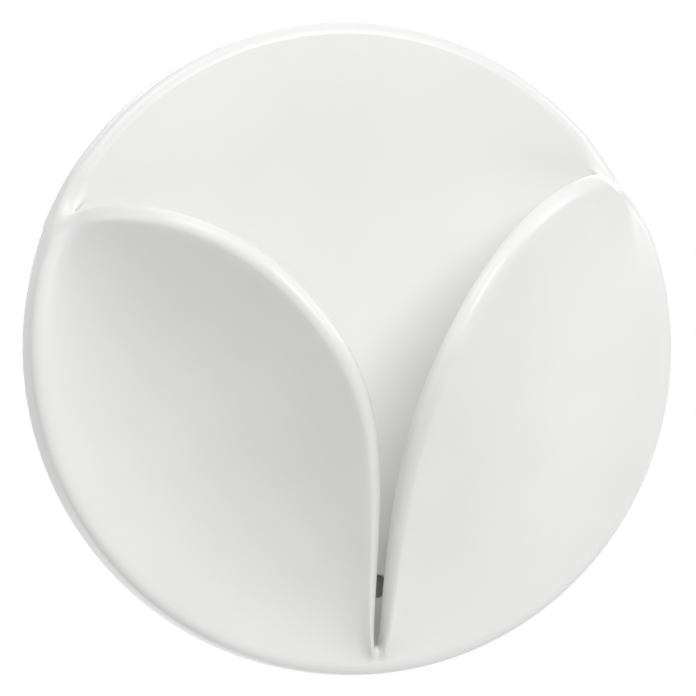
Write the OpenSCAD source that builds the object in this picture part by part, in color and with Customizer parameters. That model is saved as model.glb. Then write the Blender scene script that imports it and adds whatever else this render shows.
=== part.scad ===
// Self-adhesive push-in towel holder: a round moulding with two curled petals,
// a closing plate behind it and a foam adhesive pad that holds it to the wall.
// The wall is the plane Y = 0, the front faces -Y and +Z is up.

/* [Disc] */
// Diameter of the disc
disc_d = 55.5; // [48:0.5:66]
// Height of the flat face above the rear edge of the rim
face_h = 2.8; // [2.6:0.1:3.2]
// Height of the rim along the petals, above its rear edge
rim_h = 5.2; // [4.6:0.1:6]
// Thickness of the rim wall
rim_wall = 2.2; // [1.8:0.1:3]
// Thickness of the flat face
face_wall = 1.2; // [1:0.1:1.6]
// Inward lean of the rim wall over its height
rim_draft = 0.1; // [0.05:0.05:0.4]
// Rounding of the rim where the flat face meets it
face_edge_r = 1.1; // [0.8:0.1:1.4]
// Rounding of the rim where a petal meets it
petal_edge_r = 1; // [0.4:0.1:1.2]
// Rounding of the rear edge of the rim
rear_edge_r = 0.3; // [0.1:0.1:0.5]

/* [Petals] */
// Height of the lips above the rear edge of the rim
lip_h = 22.2; // [18:0.1:25]
// Thickness of the petals at their lips
lip_t = 1.9; // [1.5:0.1:2.4]
// Angle from the top of the disc to the point where a lip leaves the rim
lip_angle = 63; // [54:1:70]
// Width of the slot between the lips at its foot
slot_w = 0.6; // [0.5:0.02:1]
// Distance from the edge of the disc to the foot of the slot
slot_foot = 2.5; // [2.1:0.1:3]
// Gap between petal and face at the inner end of the pocket
pocket_gap = 0.8; // [0.5:0.1:1]
// Run of the fillet that ties a lip to the flat face where it leaves the rim
fillet_run = 0.6; // [0.6:0.1:1.2]

/* [Hole] */
// Height of the round-ended hole in the face behind the slot
hole_h = 2; // [1:0.1:2.4]
// Width of that hole
hole_w = 4; // [3:0.1:6]
// Distance of the hole below the centre of the disc
hole_drop = 20.3; // [17:0.1:21]

/* [Back plate] */
// Thickness of the back plate
plate_t = 0.8; // [0.6:0.1:1]
// Clearance round the back plate
plate_gap = 0.1; // [0.05:0.05:0.2]
// Width of the ledge that the back plate seats on
ledge_w = 1.2; // [0.8:0.1:2]
// Outer diameter of the ring on the plate that backs the flat face
ring_d = 30; // [20:1:34]
// Width of that ring
ring_w = 1.2; // [0.8:0.1:2]

/* [Adhesive pad] */
// Diameter of the foam pad
pad_d = 46; // [36:1:50]
// Thickness of the foam pad
pad_t = 1; // [0.6:0.1:2]

/* [Hidden] */
$fn = 128;

disc_r = disc_d / 2;
ceiling_h = face_h - face_wall;
overrun = 0.2;

// Points that steer a lip: shares of the disc's radius across and up, and of the rise to the crest
leave_shares = [0.834, 0.49, 0.4];
crest_shares = [0.1685, 0.04757, 1];
crest_run_shares = [0.2814, 0.4747, 0];
fall_shares = [0.011, -0.4093, 0.562];
// Length of the crest's lower handle, as a share of its upper one
crest_handle_share = 0.516;
// Height of the foot of the slot, as a share of the way from the face to the top of the rim
foot_rise_share = 0.87;
// Share of the way round a petal at which its lip is highest
crest_way_share = 0.45;
// Share of the way round a petal over which the pocket opens behind its lip
pocket_way_share = 0.15;
// Greatest half thickness of a lip, as shares of the petal's run from the rim at its start and its foot
half_run_shares = [0.6, 0.4];
// Share of the run at which the front of a petal bends up towards its lip
bend_share = 0.53;
// Curl of a petal's underside, as a share of the curl that would follow its front
under_curl_share = 0.84;
// Height at which the wall passes into the rim's rounding, as a share of the wall below the flat face
wall_share = 0.5;
// Least turn of the rim's rounding, as a share of a quarter turn
least_turn_share = 0.1;
// Turn of the sections into the corner by the lip, and the angle round the disc that it takes
corner_turn = 60;
corner_angle = 12;
// Angles round the disc over which the rim rises past the lip's start and its rounding turns in
ridge_angle = 5;
opening_angle = 9;
// Blend of the lip's start into the rim: its reach to each side, the pull of a pass as a share, and how many
blend_angle = 10;
blend_share = 0.8;
blend_passes = 30;

// Counts of stations round half the disc and of points along each stretch of the section
open_stations = 10;
corner_stations = 8;
start_stations = 14;
petal_stations = 28;
foot_stations = 9;
foot_angle = 165;
edge_points = 5;
petal_points = 9;
tip_points = 8;
under_points = 8;
crease_points = 3;
rear_points = 6;
crown_point = rear_points + edge_points + petal_points + tip_points / 2 - 1;
section_points = rear_points + edge_points + petal_points + tip_points + under_points + crease_points;

// A lip's Bezier points, in the frame of the moulding: x right, y up, z forward from the rim's rear edge
lip_r = lip_t / 2;
lip_rise = lip_h - lip_r - face_h;
lip_start = on_rim(lip_angle, rim_draft + lip_r, face_h - lip_r) + lip_r * leaving(lip_angle);
lip_leave = steering(leave_shares);
lip_crest = steering(crest_shares);
lip_crest_run = [disc_r * crest_run_shares[0], disc_r * crest_run_shares[1], lip_rise * crest_run_shares[2]];
lip_fall = steering(fall_shares);
lip_end = [slot_w / 2, slot_foot - disc_r, mix(face_h, rim_h, foot_rise_share)];

function smooth(t) = let (c = min(1, max(0, t))) c * c * (3 - 2 * c);
function mix(a, b, t) = a + (b - a) * t;
function unit(v) = v / norm(v);
function flat(v) = [v[0], v[1], 0];
function on_rim(a, inset, h) = [(disc_r - inset) * sin(a), (disc_r - inset) * cos(a), h];
function steering(s) = [disc_r * s[0], disc_r * s[1], face_h + lip_rise * s[2]];
function bezier(p, t) =
    p[0] * pow(1 - t, 3) + p[1] * 3 * t * pow(1 - t, 2) + p[2] * 3 * t * t * (1 - t) + p[3] * pow(t, 3);
function bent(p, t) = p[0] * pow(1 - t, 2) + p[1] * 2 * t * (1 - t) + p[2] * t * t;

// Outermost edge of the right lip, by the share of the way round its petal
function lip_point(q) =
    q < crest_way_share
    ? bezier([lip_start, lip_leave, lip_crest + lip_crest_run, lip_crest], q / crest_way_share)
    : bezier([lip_crest, lip_crest - crest_handle_share * lip_crest_run, lip_fall, lip_end],
             (q - crest_way_share) / (1 - crest_way_share));

// How far a section has come into the corner, along the start of the lip and into the open petal
function cornering(a) = smooth((a - lip_angle + corner_angle) / corner_angle);
function ridging(a) = smooth((a - lip_angle) / ridge_angle);
function opening(a) = max(least_turn_share, smooth((a - lip_angle) / opening_angle));

// Directions in which a section leaves the rim: straight in, and turned into the corner by the lip
function inward(a) = [-sin(a), -cos(a), 0];
function leaving(a) = inward(a + corner_turn * cornering(a));

// Rear of the section: cavity, ledge for the back plate and rear edge
function rear_section(a) = [
    on_rim(a, rim_wall + ledge_w, ceiling_h),
    on_rim(a, rim_wall + ledge_w, plate_t),
    on_rim(a, rim_wall, plate_t),
    on_rim(a, rim_wall, 0),
    on_rim(a, rear_edge_r, 0),
    on_rim(a, 0, rear_edge_r)
];

// Rounded front edge of the rim, which turns in as the petal opens
function edge_section(a) =
    let (
        low = mix(rear_edge_r, face_h - face_edge_r, wall_share),
        base = mix(low, rim_h - petal_edge_r, ridging(a))
    )
    [for (k = [0:edge_points - 1])
        let (t = 90 * opening(a) * k / (edge_points - 1))
        on_rim(a, rim_draft + petal_edge_r * (1 - cos(t)), base + petal_edge_r * sin(t))];

// Point round a lip, by the angle from its inner side: the outer half faces the rim, the inner half the slot
function round_lip(middle, r, out, in, t) =
    middle + r * (cos(t) * (t > 90 ? out : in) + [0, 0, sin(t)]);

// Bend of a petal's front between the rim and its lip
function bend(foot, front, a) =
    let (o = ridging(a), p = mix(foot, front, bend_share * o))
    [p[0], p[1], mix((foot[2] + front[2]) / 2, foot[2], o)];

// Slope of a petal at its lip, found by repeated trial
function lip_slope(foot, middle, r, out, in, a, tries, slope = 90) =
    let (front = round_lip(middle, r, out, in, slope + 90), b = bend(foot, front, a))
    tries == 0
    ? slope
    : lip_slope(foot, middle, r, out, in, a, tries - 1, atan2(front[2] - b[2], norm(flat(front - b))));

// From the rim up a petal to its lip, round the lip and back along its underside to the face
function petal_section(a) =
    let (
        q = max(0, (a - lip_angle) / (180 - lip_angle)),
        edge = edge_section(a),
        foot = edge[edge_points - 1],
        lip = lip_point(q),
        tip = a >= 180 ? [0, lip[1], lip[2]] : lip,
        run = norm(flat(tip - foot)),
        across = flat(tip - foot) / run,
        in = a <= lip_angle ? leaving(a) : unit(mix(leaving(lip_angle), across, ridging(a))),
        out = unit(mix(inward(a), in, ridging(a))),
        face_r = mix(face_edge_r, lip_r, cornering(a)),
        r = a <= lip_angle ? face_r : min(lip_r, run * mix(half_run_shares[0], half_run_shares[1], q)),
        middle = a <= lip_angle ? on_rim(a, rim_draft + r, face_h - r) : tip - r * in,
        slope = lip_slope(foot, middle, r, out, in, a, 6),
        front = round_lip(middle, r, out, in, slope + 90),
        turn = bend(foot, front, a),
        open = smooth(q / pocket_way_share),
        crease_h = face_h + pocket_gap * open,
        raised = function (p) [p[0], p[1], max(crease_h, p[2])],
        last = (slope - 90) * open,
        under = raised(round_lip(middle, r, out, in, last)),
        under_run = norm(flat(under - foot)),
        pocket_run = min(rim_wall + pocket_gap / 2 - rim_draft - petal_edge_r, run / 2),
        under_rise = max(lip_r, under[2] - crease_h),
        under_curl = max(1, under_curl_share * tan(slope) * (under_run - pocket_run) / under_rise),
        place = function (s, z) flat(foot + across * s) + [0, 0, z],
        fillet = [for (k = [1:under_points + crease_points])
            let (t = k / (under_points + crease_points))
            flat(under + in * fillet_run * t) + [0, 0, mix(face_h, under[2], pow(1 - t, 2))]],
        pocket = concat(
            [for (k = [1:under_points])
                let (t = k / under_points, z = mix(face_h + pocket_gap, under[2], pow(1 - t, under_curl)))
                place(mix(under_run, pocket_run, t), z)],
            [
                place(pocket_run - pocket_gap / 2, face_h + pocket_gap / 2),
                place(pocket_run, face_h),
                place(pocket_run + pocket_gap, face_h)
            ])
    )
    concat(
        edge,
        [for (k = [1:petal_points]) bent([foot, turn, front], k / petal_points)],
        [for (k = [1:tip_points])
            let (t = mix(slope + 90, last, k / tip_points), p = round_lip(middle, r, out, in, t))
            t > 90 ? p : raised(p)],
        [for (k = [0:under_points + crease_points - 1]) mix(fillet[k], pocket[k], open)]
    );

// One whole section on the right half of the disc
function section(a) = concat(rear_section(a), petal_section(a));

stations = concat(
    [for (k = [0:open_stations - 1]) (lip_angle - corner_angle) * k / open_stations],
    [for (k = [0:corner_stations - 1]) lip_angle - corner_angle * (1 - k / corner_stations)],
    [for (k = [0:start_stations - 1]) lip_angle + opening_angle * k / start_stations],
    [for (k = [0:petal_stations - 1])
        mix(lip_angle + opening_angle, foot_angle, k / petal_stations)],
    [for (k = [0:foot_stations]) mix(180, foot_angle, pow(1 - k / foot_stations, 2))]
);

// How strongly a station is blended into the junction of lip and rim
function blending(a) = 1 - smooth(abs(a - lip_angle) / blend_angle);

// A point drawn towards the mean of its neighbours, never below the flat face on the inner side of the lip
function eased(grid, i, k, pull) =
    let (
        beside = (grid[i - 1][k] + grid[i + 1][k]) / 2,
        mean = k == section_points - 1 ? beside : (2 * beside + grid[i][k - 1] + grid[i][k + 1]) / 4,
        p = mix(grid[i][k], mean, pull)
    )
    k < crown_point ? p : [p[0], p[1], max(face_h, p[2])];

// The sections after so many passes of blending, with the rear of each left as it is
function blended(grid, passes) =
    passes == 0
    ? grid
    : blended([for (i = [0:len(grid) - 1])
        let (pull = blend_share * blending(stations[i]))
        pull == 0
        ? grid[i]
        : [for (k = [0:section_points - 1]) k < rear_points ? grid[i][k] : eased(grid, i, k, pull)]
    ], passes - 1);

function mirrored(points) = [for (p = points) [-p[0], p[1], p[2]]];

// Solid skin over a closed ring of sections, with a flat cap at each end of the sections
module skin(sections) {
    rings = len(sections);
    count = len(sections[0]);
    sides = [for (i = [0:rings - 1]) for (k = [0:count - 2])
        let (n = (i + 1) % rings, a = i * count + k, b = n * count + k)
        each [[a, b + 1, a + 1], [a, b, b + 1]]];
    rear_cap = [for (i = [rings - 1:-1:0]) i * count];
    front_cap = [for (i = [0:rings - 1]) i * count + count - 1];
    polyhedron([for (s = sections) each s], concat(sides, [rear_cap, front_cap]));
}

// Sets a piece drawn in the moulding's frame against the pad on the wall
module facing() translate([0, -pad_t, 0]) rotate([90, 0, 0]) children();

module front_body() color("white") facing() difference() {
    right = blended([for (a = stations) section(a)], blend_passes);
    last = len(stations) - 1;
    skin(concat(right, [for (k = [last - 1:-1:1]) mirrored(right[k])]));
    translate([0, -hole_drop, ceiling_h - overrun]) linear_extrude(face_wall + 2 * overrun) {
        square([hole_w - hole_h, hole_h], center = true);
        for (side = [-1, 1]) translate([side * (hole_w - hole_h) / 2, 0]) circle(d = hole_h);
    }
}

module back_plate() color("gainsboro") facing() {
    cylinder(r = disc_r - rim_wall - plate_gap, h = plate_t);
    difference() {
        cylinder(d = ring_d, h = ceiling_h);
        cylinder(d = ring_d - 2 * ring_w, h = ceiling_h + overrun);
    }
}

module adhesive_pad() color("lightgray") facing()
    translate([0, 0, -pad_t]) cylinder(d = pad_d, h = pad_t);

front_body();
back_plate();
adhesive_pad();
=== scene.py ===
"""Looks of the self-adhesive towel holder: white moulding, closing plate and foam pad, in a plain pale studio."""
import math

import bpy
from mathutils import Matrix, Vector


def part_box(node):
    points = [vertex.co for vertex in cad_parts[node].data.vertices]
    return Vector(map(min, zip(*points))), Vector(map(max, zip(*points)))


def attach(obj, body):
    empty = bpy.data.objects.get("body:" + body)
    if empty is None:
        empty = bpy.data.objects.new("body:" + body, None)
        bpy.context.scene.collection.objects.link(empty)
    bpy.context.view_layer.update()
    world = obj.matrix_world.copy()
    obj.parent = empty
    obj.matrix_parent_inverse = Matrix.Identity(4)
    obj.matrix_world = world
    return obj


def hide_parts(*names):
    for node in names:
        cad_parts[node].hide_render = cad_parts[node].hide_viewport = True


MM = 0.001

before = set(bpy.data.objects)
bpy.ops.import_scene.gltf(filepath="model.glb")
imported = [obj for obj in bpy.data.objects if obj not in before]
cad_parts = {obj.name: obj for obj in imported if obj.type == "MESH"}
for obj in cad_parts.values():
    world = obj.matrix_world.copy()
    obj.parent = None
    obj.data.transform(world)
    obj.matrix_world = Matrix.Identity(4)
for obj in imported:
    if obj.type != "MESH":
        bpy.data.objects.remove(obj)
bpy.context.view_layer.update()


def linear(hex_colour):
    """sRGB hex value to the linear colour that Blender's sockets take."""
    parts = [int(hex_colour[i:i + 2], 16) / 255 for i in (1, 3, 5)]
    return [c / 12.92 if c <= 0.04045 else ((c + 0.055) / 1.055) ** 2.4 for c in parts] + [1.0]


def add(tree, kind, settings=None, **links):
    """Adds a node, sets its properties and sockets, and links its inputs by name."""
    node = tree.nodes.new(kind)
    for key, value in (settings or {}).items():
        if key in node.inputs:
            node.inputs[key].default_value = value
        else:
            setattr(node, key, value)
    for socket, output in links.items():
        tree.links.new(output, node.inputs[socket.replace("_", " ")])
    return node


def new_material(name):
    material = bpy.data.materials.new(name)
    material.use_nodes = True
    tree = material.node_tree
    tree.nodes.clear()
    return material, tree


def fresh_start():
    if bpy.context.object and bpy.context.object.mode != "OBJECT":
        bpy.ops.object.mode_set(mode="OBJECT")
    bpy.ops.object.select_all(action="DESELECT")


# Materials


def moulded_abs(name, light_hex, shade_hex, roughness, grain_mm, grain_depth_mm):
    """Injection-moulded ABS: opaque, near white, with a soft sheen broken by the fine texture of the mould."""
    material, tree = new_material(name)
    cloud_mm, sheen_spread = 14, 0.04
    place = add(tree, "ShaderNodeTexCoord").outputs["Object"]
    cloud = add(tree, "ShaderNodeTexNoise", {"Scale": 1 / (cloud_mm * MM), "Detail": 2.0}, Vector=place)
    grain = add(tree, "ShaderNodeTexNoise", {"Scale": 1 / (grain_mm * MM), "Detail": 3.0}, Vector=place)
    colour = add(tree, "ShaderNodeValToRGB", Fac=cloud.outputs["Fac"])
    colour.color_ramp.elements[0].position = 0.35
    colour.color_ramp.elements[0].color = linear(shade_hex)
    colour.color_ramp.elements[1].position = 0.65
    colour.color_ramp.elements[1].color = linear(light_hex)
    sheen = add(tree, "ShaderNodeMapRange",
                {"To Min": roughness - sheen_spread, "To Max": roughness + sheen_spread},
                Value=grain.outputs["Fac"])
    relief = add(tree, "ShaderNodeBump", {"Strength": 0.25, "Distance": grain_depth_mm * MM},
                 Height=grain.outputs["Fac"])
    plastic = add(tree, "ShaderNodeBsdfPrincipled", {"IOR": 1.53}, Base_Color=colour.outputs["Color"],
                  Roughness=sheen.outputs["Result"], Normal=relief.outputs["Normal"])
    add(tree, "ShaderNodeOutputMaterial", Surface=plastic.outputs["BSDF"])
    return material


def polyethylene_foam():
    """Closed-cell foam, die-cut: matt white with small cells open along the cut edge."""
    material, tree = new_material("PE foam, die-cut")
    place = add(tree, "ShaderNodeTexCoord").outputs["Object"]
    # Real cells are about 0.2 mm across; they are drawn at 0.35 mm so that they show
    cells = add(tree, "ShaderNodeTexVoronoi", {"Scale": 1 / (0.35 * MM)}, Vector=place)
    colour = add(tree, "ShaderNodeValToRGB", Fac=cells.outputs["Distance"])
    colour.color_ramp.elements[0].color = linear("#D9D8D2")
    colour.color_ramp.elements[1].position = 0.6
    colour.color_ramp.elements[1].color = linear("#F1F0EB")
    relief = add(tree, "ShaderNodeBump", {"Strength": 0.6, "Distance": 0.08 * MM},
                 Height=cells.outputs["Distance"])
    foam = add(tree, "ShaderNodeBsdfPrincipled", {"IOR": 1.45, "Roughness": 0.85},
               Base_Color=colour.outputs["Color"], Normal=relief.outputs["Normal"])
    add(tree, "ShaderNodeOutputMaterial", Surface=foam.outputs["BSDF"])
    return material


def acrylic_adhesive():
    """Tacky acrylic film on the foam: faintly yellow and shiny, rippled where its liner was peeled off."""
    material, tree = new_material("Acrylic adhesive film")
    place = add(tree, "ShaderNodeTexCoord").outputs["Object"]
    ripple = add(tree, "ShaderNodeTexNoise", {"Scale": 1 / (2.5 * MM), "Detail": 4.0, "Distortion": 0.6},
                 Vector=place)
    colour = add(tree, "ShaderNodeValToRGB", Fac=ripple.outputs["Fac"])
    colour.color_ramp.elements[0].position = 0.3
    colour.color_ramp.elements[0].color = linear("#E6E3D8")
    colour.color_ramp.elements[1].position = 0.7
    colour.color_ramp.elements[1].color = linear("#F0EEE6")
    relief = add(tree, "ShaderNodeBump", {"Strength": 0.4, "Distance": 0.1 * MM}, Height=ripple.outputs["Fac"])
    film = add(tree, "ShaderNodeBsdfPrincipled", {"IOR": 1.47, "Roughness": 0.28},
               Base_Color=colour.outputs["Color"], Normal=relief.outputs["Normal"])
    add(tree, "ShaderNodeOutputMaterial", Surface=film.outputs["BSDF"])
    return material


# Pieces


def smooth_moulding(material):
    """The front moulding with its facets smoothed, its flat faces kept flat and its true edges sharp."""
    merge_gap, flat_slack = 0.001 * MM, 0.0005 * MM
    quad_bend, quad_skew = math.radians(40), math.radians(60)
    true_edge, shaded_edge = math.radians(50), math.radians(45)
    fresh_start()
    piece = bpy.data.objects.new("front_moulding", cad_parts["front_body"].data.copy())
    bpy.context.collection.objects.link(piece)
    piece.select_set(True)
    bpy.context.view_layer.objects.active = piece
    bpy.ops.object.mode_set(mode="EDIT")
    bpy.ops.mesh.select_all(action="SELECT")
    bpy.ops.mesh.customdata_custom_splitnormals_clear()
    bpy.ops.mesh.remove_doubles(threshold=merge_gap)
    bpy.ops.mesh.tris_convert_to_quads(face_threshold=quad_bend, shape_threshold=quad_skew)
    bpy.ops.mesh.select_mode(type="FACE")
    bpy.ops.mesh.select_all(action="DESELECT")
    bpy.ops.object.mode_set(mode="OBJECT")
    for face in piece.data.polygons:
        depths = [piece.data.vertices[i].co.y for i in face.vertices]
        face.select = max(depths) - min(depths) < flat_slack
    bpy.ops.object.mode_set(mode="EDIT")
    bpy.ops.transform.edge_crease(value=1.0)
    bpy.ops.mesh.region_to_loop()
    bpy.ops.mesh.mark_sharp()
    bpy.ops.mesh.select_all(action="DESELECT")
    bpy.ops.mesh.edges_select_sharp(sharpness=true_edge)
    bpy.ops.transform.edge_crease(value=1.0)
    bpy.ops.object.mode_set(mode="OBJECT")
    bpy.ops.object.modifier_add(type="SUBSURF")
    rounding = piece.modifiers[-1]
    rounding.levels = rounding.render_levels = 1
    bpy.ops.object.modifier_apply(modifier=rounding.name)
    bpy.ops.object.shade_smooth_by_angle(angle=shaded_edge)
    piece.data.materials.clear()
    piece.data.materials.append(material)
    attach(piece, "root")
    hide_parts("front_body")
    return piece


def foam_pad(foam, adhesive):
    """The die-cut pad: flat tacky faces, and a cut edge that is pinched in a little at its middle."""
    rim_facets, edge_cuts = 160, 5
    film_margin, ring_width, pinch = 0.25 * MM, 6 * MM, 0.18 * MM
    fresh_start()
    low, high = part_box("adhesive_pad")
    radius = (high.x - low.x) / 2
    thickness = high.y - low.y
    centre = (low + high) / 2
    bpy.ops.mesh.primitive_cylinder_add(vertices=rim_facets, radius=radius, depth=thickness, location=centre,
                                        rotation=(math.pi / 2, 0, 0))
    piece = bpy.context.object
    piece.name = piece.data.name = "foam_pad"
    bpy.ops.object.transform_apply(location=True, rotation=True, scale=True)
    piece.data.materials.append(foam)
    piece.data.materials.append(adhesive)
    bpy.ops.object.mode_set(mode="EDIT")
    bpy.ops.mesh.select_all(action="DESELECT")
    bpy.ops.mesh.select_mode(type="FACE")
    bpy.ops.object.mode_set(mode="OBJECT")
    for face in piece.data.polygons:
        face.select = abs(face.normal.y) > 0.9
    bpy.ops.object.mode_set(mode="EDIT")
    bpy.ops.mesh.inset(thickness=film_margin, depth=0, use_individual=True)
    piece.active_material_index = 1
    bpy.ops.object.material_slot_assign()
    for _ in range(3):
        bpy.ops.mesh.inset(thickness=ring_width, depth=0, use_individual=True)
    bpy.ops.object.mode_set(mode="OBJECT")
    for face in piece.data.polygons:
        face.select = abs(face.normal.y) < 0.1
    bpy.ops.object.mode_set(mode="EDIT")
    bpy.ops.mesh.subdivide_edgering(number_cuts=edge_cuts, smoothness=0, profile_shape="INVERSE_SQUARE",
                                    profile_shape_factor=0.0)
    bpy.ops.object.mode_set(mode="OBJECT")
    for vertex in piece.data.vertices:
        across = Vector((vertex.co.x, 0, vertex.co.z))
        depth = 1 - (2 * (vertex.co.y - centre.y) / thickness) ** 2
        if across.length > radius - 0.1 * MM and depth > 0.001:
            vertex.co -= across.normalized() * pinch * depth
    bpy.ops.object.shade_smooth_by_angle(angle=math.radians(40))
    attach(piece, "root")
    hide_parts("adhesive_pad")
    return piece


# Studio


def seen_directly(tree):
    """1 where it is seen, straight, in a gloss or through glass, and 0 for light that falls on the object."""
    path = add(tree, "ShaderNodeLightPath").outputs
    glossy = add(tree, "ShaderNodeMath", {"operation": "MAXIMUM"})
    tree.links.new(path["Is Camera Ray"], glossy.inputs[0])
    tree.links.new(path["Is Glossy Ray"], glossy.inputs[1])
    seen = add(tree, "ShaderNodeMath", {"operation": "MAXIMUM"})
    tree.links.new(glossy.outputs[0], seen.inputs[0])
    tree.links.new(path["Is Transmission Ray"], seen.inputs[1])
    return seen.outputs[0]


def white_surround(ambient):
    """White where it is looked at, and an even ambient light on the object."""
    world = bpy.data.worlds.new("white surround")
    bpy.context.scene.world = world
    world.use_nodes = True
    tree = world.node_tree
    tree.nodes.clear()
    level = add(tree, "ShaderNodeMapRange", {"To Min": ambient, "To Max": 1.0}, Value=seen_directly(tree))
    backdrop = add(tree, "ShaderNodeBackground", {"Color": linear("#FFFFFF")}, Strength=level.outputs["Result"])
    add(tree, "ShaderNodeOutputWorld", Surface=backdrop.outputs["Background"])


def pale_floor(height, radius):
    """A round pale floor that keeps the object's shadow and fades to white towards its edge."""
    fresh_start()
    bpy.ops.mesh.primitive_circle_add(vertices=96, radius=radius, fill_type="NGON", location=(0, 0, height))
    floor = bpy.context.object
    floor.name = "pale_floor"
    material, tree = new_material("Pale studio floor")
    place = add(tree, "ShaderNodeTexCoord").outputs["Object"]
    away = add(tree, "ShaderNodeVectorMath", {"operation": "LENGTH"})
    tree.links.new(place, away.inputs[0])
    fade_from, fade_to, centre_glow = 0.3 * radius, 0.9 * radius, 0.35
    fade = add(tree, "ShaderNodeMapRange",
               {"From Min": fade_from, "From Max": fade_to, "To Min": centre_glow, "To Max": 1.0},
               Value=away.outputs["Value"])
    glow = add(tree, "ShaderNodeMath", {"operation": "MULTIPLY"})
    tree.links.new(fade.outputs["Result"], glow.inputs[0])
    tree.links.new(seen_directly(tree), glow.inputs[1])
    paint = add(tree, "ShaderNodeBsdfPrincipled",
                {"Base Color": linear("#E4E4E4"), "Roughness": 0.9, "Emission Color": linear("#FFFFFF")},
                Emission_Strength=glow.outputs["Value"])
    add(tree, "ShaderNodeOutputMaterial", Surface=paint.outputs["BSDF"])
    floor.data.materials.append(material)


def soft_box(name, azimuth, elevation, watts):
    """A round soft lamp that faces the holder, placed by its bearing from the front and its height, in degrees."""
    distance, width = 0.9, 0.5
    across, up = math.radians(azimuth), math.radians(elevation)
    way = Vector((math.sin(across) * math.cos(up), -math.cos(across) * math.cos(up), math.sin(up)))
    fresh_start()
    bpy.ops.object.light_add(type="AREA", location=way * distance, rotation=way.to_track_quat("Z", "Y").to_euler())
    lamp = bpy.context.object
    lamp.name = name
    lamp.data.shape = "DISK"
    lamp.data.size = width
    lamp.data.energy = watts


def photo_camera():
    """The photograph's view: level, 12 degrees to the left, with the holder turned 3.9 degrees in the frame."""
    turn, roll = math.radians(12), math.radians(3.9)
    distance = 600 * MM
    frame_width = 58.8 * MM
    aim = Vector((-0.12 * MM, -3.6 * MM, -0.05 * MM))
    towards = Vector((-math.sin(turn), -math.cos(turn), 0))
    fresh_start()
    bpy.ops.object.camera_add()
    camera = bpy.context.object
    camera.matrix_world = (Matrix.Translation(aim + towards * distance)
                           @ (-towards).to_track_quat("-Z", "Y").to_matrix().to_4x4()
                           @ Matrix.Rotation(-roll, 4, "Z"))
    camera.data.sensor_width = 36
    camera.data.lens = camera.data.sensor_width * distance / frame_width
    camera.data.clip_start = 10 * MM
    bpy.context.scene.camera = camera


# Each lamp's bearing from the front and height, in degrees, and its watts
LAMPS = [
    ("key", 10, 25, 4.1),
    ("left_top", -60, 60, 2.75),
    ("left_side", -60, 25, 0.25),
    ("left_behind", -110, 30, 0.8),
    ("right_side", 80, 25, 2.31),
    ("top_behind", 180, 60, 0.6),
    ("behind", 168, 10, 3.0),
]

white_abs = moulded_abs("ABS, moulded white", "#F5F5F4", "#F1F1F0", 0.36, 0.45, 0.012)
# The plate is a little greyer than the moulding. This is partly a plainer plastic and partly painted shade, so
# that what shows through the hole at the foot of the slot reads dark.
plate_abs_painted_shade = moulded_abs("ABS, plain plate", "#E4E4E2", "#DCDCDA", 0.5, 0.6, 0.02)

smooth_moulding(white_abs)
foam_pad(polyethylene_foam(), acrylic_adhesive())
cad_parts["back_plate"].material_slots[0].material = plate_abs_painted_shade

photo_camera()
white_surround(0.1)
pale_floor(-100 * MM, 450 * MM)
for lamp in LAMPS:
    soft_box(*lamp)

bpy.context.scene.view_settings.view_transform = "Standard"
